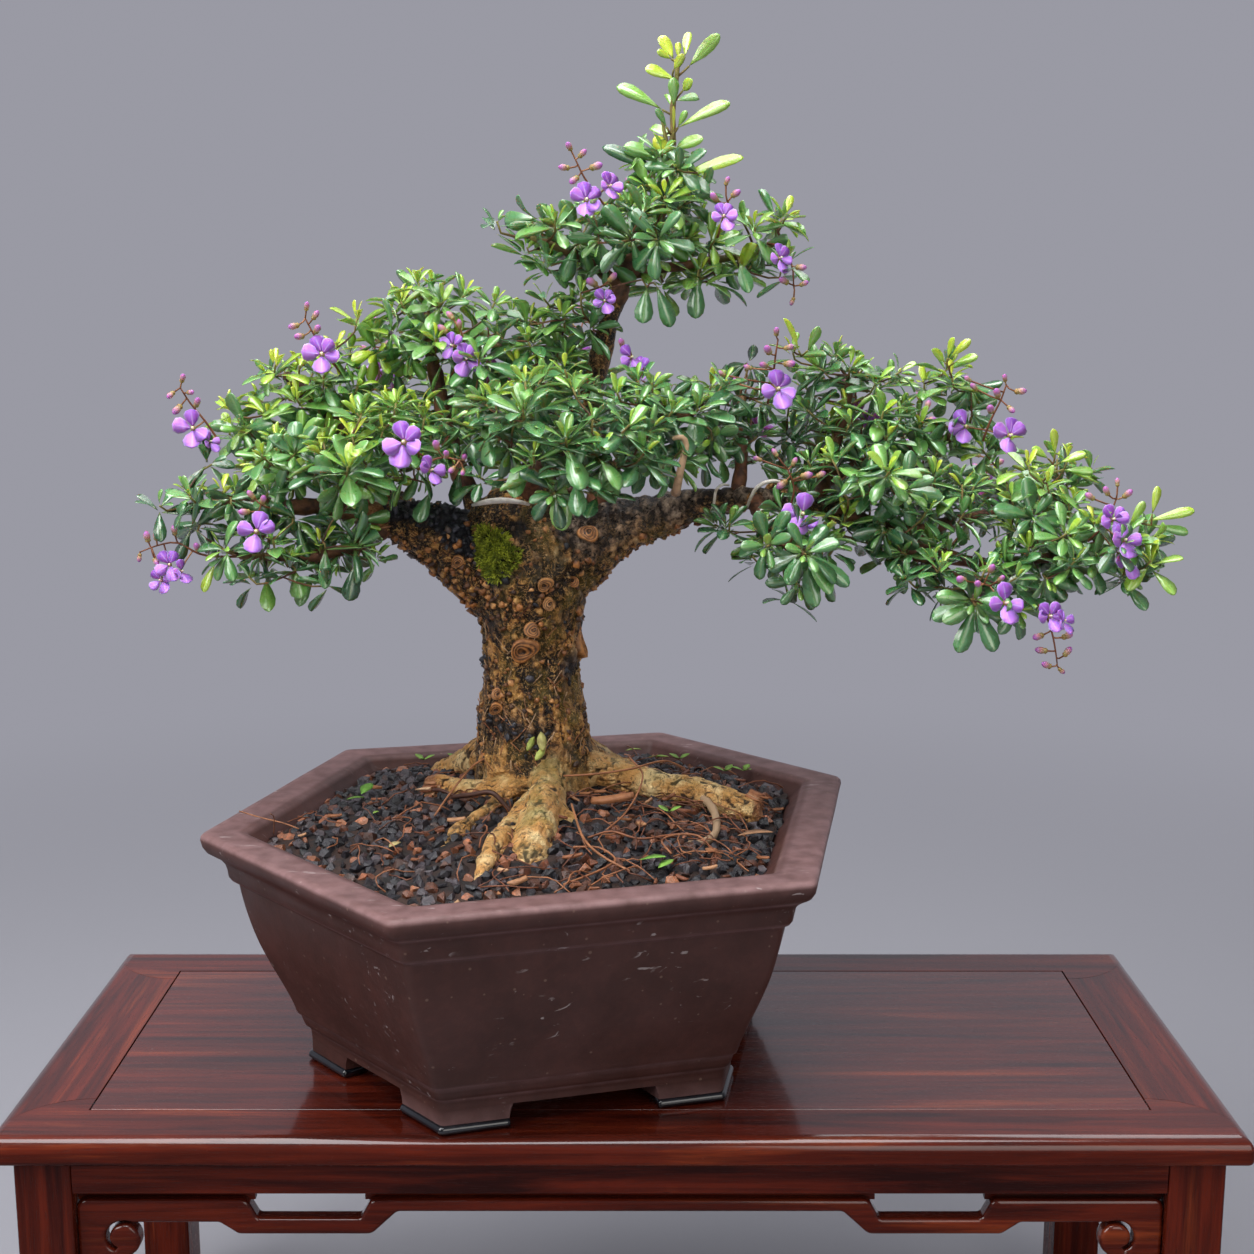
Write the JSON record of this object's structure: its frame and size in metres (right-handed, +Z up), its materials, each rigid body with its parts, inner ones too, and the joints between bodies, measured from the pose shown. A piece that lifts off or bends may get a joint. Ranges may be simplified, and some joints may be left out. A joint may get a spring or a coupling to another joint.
{
  "type": "potted bonsai tree on a display stand",
  "caption": "Flowering desmodium bonsai with spreading limbs and surface roots, in a hexagonal clay pot on a low rosewood display stand with openwork spandrels.",
  "frame": {"origin": "on the floor, under the middle of the stand", "axes": "+Z up; the front of the tree and of the stand faces -Y; +X is to the right of the front view, along the stand"},
  "size_m": [0.532, 0.3011, 0.6481],
  "materials": {
    "rosewood": "polished dark red rosewood with streaky grain",
    "clay": "unglazed dark purple brown stoneware, scuffed",
    "foot_gloss": "black gloss",
    "drain_mesh": "matte",
    "soil": "dark lava granules with rust brown fibres",
    "bark": "rough warty bark, pale tan roots",
    "moss": "short tufted moss",
    "wire": "dull pale wire",
    "flower": "violet petals with paler throats",
    "leaf": "glossy dark green leaves, lime new growth"
  },
  "bodies": {
    "root": {"top_rail_front": "rosewood", "top_rail_back": "rosewood", "top_rail_right": "rosewood", "top_rail_left": "rosewood", "top_panel": "rosewood", "panel_batten_left": "rosewood", "panel_batten_right": "rosewood", "leg_front_left": "rosewood", "leg_front_right": "rosewood", "leg_back_left": "rosewood", "leg_back_right": "rosewood", "apron_front": "rosewood", "apron_back": "rosewood", "apron_left": "rosewood", "apron_right": "rosewood", "spandrel_front": "rosewood", "spandrel_back": "rosewood", "spandrel_left": "rosewood", "spandrel_right": "rosewood", "pot": "clay", "foot_pad_right": "foot_gloss", "foot_pad_back_right": "foot_gloss", "foot_pad_back_left": "foot_gloss", "foot_pad_left": "foot_gloss", "foot_pad_front_left": "foot_gloss", "foot_pad_front_right": "foot_gloss", "drain_screen_left": "drain_mesh", "drain_screen_right": "drain_mesh", "soil": "soil", "tree": "bark", "moss_patch": "moss", "branch_tie": "wire", "flower_raceme_left_low": "flower", "flower_raceme_left_tip": "flower", "flower_raceme_left_crown": "flower", "flower_raceme_centre_left": "flower", "flower_raceme_apex_left": "flower", "flower_raceme_right_inner": "flower", "flower_raceme_right_upper": "flower", "flower_raceme_right_hanging": "flower", "leaf_pad_leader_tip": "leaf", "leaf_pad_apex_crown": "leaf", "leaf_pad_apex_left": "leaf", "leaf_pad_apex_right": "leaf", "leaf_pad_left_crown": "leaf", "leaf_pad_left_upper": "leaf", "leaf_pad_left_mid": "leaf", "leaf_pad_left_low": "leaf", "leaf_pad_left_rear": "leaf", "leaf_pad_centre_top": "leaf", "leaf_pad_centre_rear": "leaf", "leaf_pad_centre_front": "leaf", "leaf_pad_centre_right": "leaf", "leaf_pad_right_crown": "leaf", "leaf_pad_right_upper": "leaf", "leaf_pad_right_mid": "leaf", "leaf_pad_right_rear": "leaf", "leaf_pad_right_low_left": "leaf", "leaf_pad_right_low": "leaf", "leaf_pad_right_outer": "leaf"}
  },
  "joints": []
}
